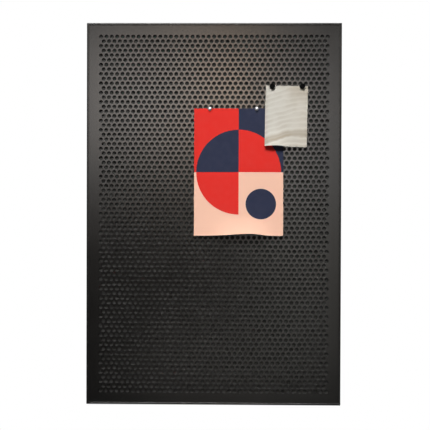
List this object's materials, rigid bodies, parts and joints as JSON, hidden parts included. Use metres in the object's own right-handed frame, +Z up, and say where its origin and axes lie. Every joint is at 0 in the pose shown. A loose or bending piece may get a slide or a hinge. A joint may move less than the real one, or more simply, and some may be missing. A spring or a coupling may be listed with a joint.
{
  "type": "magnetic notice board",
  "caption": "Wall-hung magnetic notice board: perforated dark steel face over a plain backing in a mitred frame, with a poster and a card held by small magnets.",
  "frame": {"origin": "middle of the board on the wall plane, where the backs of the wall bumpers lie", "axes": "+Z up, +X to the viewer's right, and +Y into the wall, so the board faces -Y"},
  "size_m": [0.6, 0.0422, 0.9],
  "materials": {
    "frame_coat": "satin dark grey powder coat on the aluminium frame rails",
    "face_coat": "satin dark grey powder coat on perforated steel",
    "backing_coat": "matt dark grey coat on plain steel",
    "spacer_strip": "black extruded plastic strip",
    "spring_steel": "bright rolled spring steel",
    "zinc_plate": "pale zinc-plated steel",
    "bumper_rubber": "matt black rubber",
    "poster_paper": "uncoated paper printed in red, navy and peach",
    "card_paper": "pale warm grey satin card",
    "magnet_chrome": "bright chromed steel cap",
    "magnet_nickel": "nickel-plated magnet",
    "magnet_black": "black moulded plastic cap",
    "magnet_ferrite": "bare dark ferrite magnet"
  },
  "bodies": {
    "board": {"frame_left": "frame_coat", "frame_top": "frame_coat", "frame_right": "frame_coat", "frame_bottom": "frame_coat", "perforated_sheet": "face_coat", "backing_sheet": "backing_coat", "spacer_left": "spacer_strip", "spacer_top": "spacer_strip", "spacer_right": "spacer_strip", "spacer_bottom": "spacer_strip", "spring_clip_left_1": "spring_steel", "spring_clip_left_2": "spring_steel", "spring_clip_left_3": "spring_steel", "spring_clip_top_1": "spring_steel", "spring_clip_right_1": "spring_steel", "spring_clip_right_2": "spring_steel", "spring_clip_right_3": "spring_steel", "spring_clip_bottom_1": "spring_steel", "corner_angle_top_left": "zinc_plate", "corner_angle_top_right": "zinc_plate", "corner_angle_bottom_right": "zinc_plate", "corner_angle_bottom_left": "zinc_plate", "set_screw_top_left_1": "zinc_plate", "set_screw_top_left_2": "zinc_plate", "set_screw_top_right_1": "zinc_plate", "set_screw_top_right_2": "zinc_plate", "set_screw_bottom_right_1": "zinc_plate", "set_screw_bottom_right_2": "zinc_plate", "set_screw_bottom_left_1": "zinc_plate", "set_screw_bottom_left_2": "zinc_plate", "hanger_plate_left": "zinc_plate", "hanger_plate_right": "zinc_plate", "hanger_clamp_left": "zinc_plate", "hanger_clamp_right": "zinc_plate", "hanger_screw_left_1": "zinc_plate", "hanger_screw_left_2": "zinc_plate", "hanger_screw_right_1": "zinc_plate", "hanger_screw_right_2": "zinc_plate", "wall_bumper_top_left": "bumper_rubber", "wall_bumper_bottom_left": "bumper_rubber", "wall_bumper_top_right": "bumper_rubber", "wall_bumper_bottom_right": "bumper_rubber"},
    "poster": {"poster": "poster_paper"},
    "card": {"card": "card_paper"},
    "poster_magnet_1": {"poster_magnet_cap_1": "magnet_chrome", "poster_magnet_core_1": "magnet_nickel"},
    "poster_magnet_2": {"poster_magnet_cap_2": "magnet_chrome", "poster_magnet_core_2": "magnet_nickel"},
    "card_magnet_1": {"card_magnet_cap_1": "magnet_black", "card_magnet_core_1": "magnet_ferrite"},
    "card_magnet_2": {"card_magnet_cap_2": "magnet_black", "card_magnet_core_2": "magnet_ferrite"}
  },
  "joints": [
    {"name": "poster_lift", "type": "slide", "parent": "board", "child": "poster", "axis": [0, -1, 0], "range_m": [0, 0.12]},
    {"name": "card_lift", "type": "slide", "parent": "poster", "child": "card", "axis": [0, -1, 0], "range_m": [0, 0.08]},
    {"name": "poster_magnet_1_pull", "type": "slide", "parent": "poster", "child": "poster_magnet_1", "axis": [0, -1, 0], "range_m": [0, 0.04]},
    {"name": "poster_magnet_2_pull", "type": "slide", "parent": "poster", "child": "poster_magnet_2", "axis": [0, -1, 0], "range_m": [0, 0.04]},
    {"name": "card_magnet_1_pull", "type": "slide", "parent": "card", "child": "card_magnet_1", "axis": [0, -1, 0], "range_m": [0, 0.04]},
    {"name": "card_magnet_2_pull", "type": "slide", "parent": "card", "child": "card_magnet_2", "axis": [0, -1, 0], "range_m": [0, 0.04]}
  ]
}
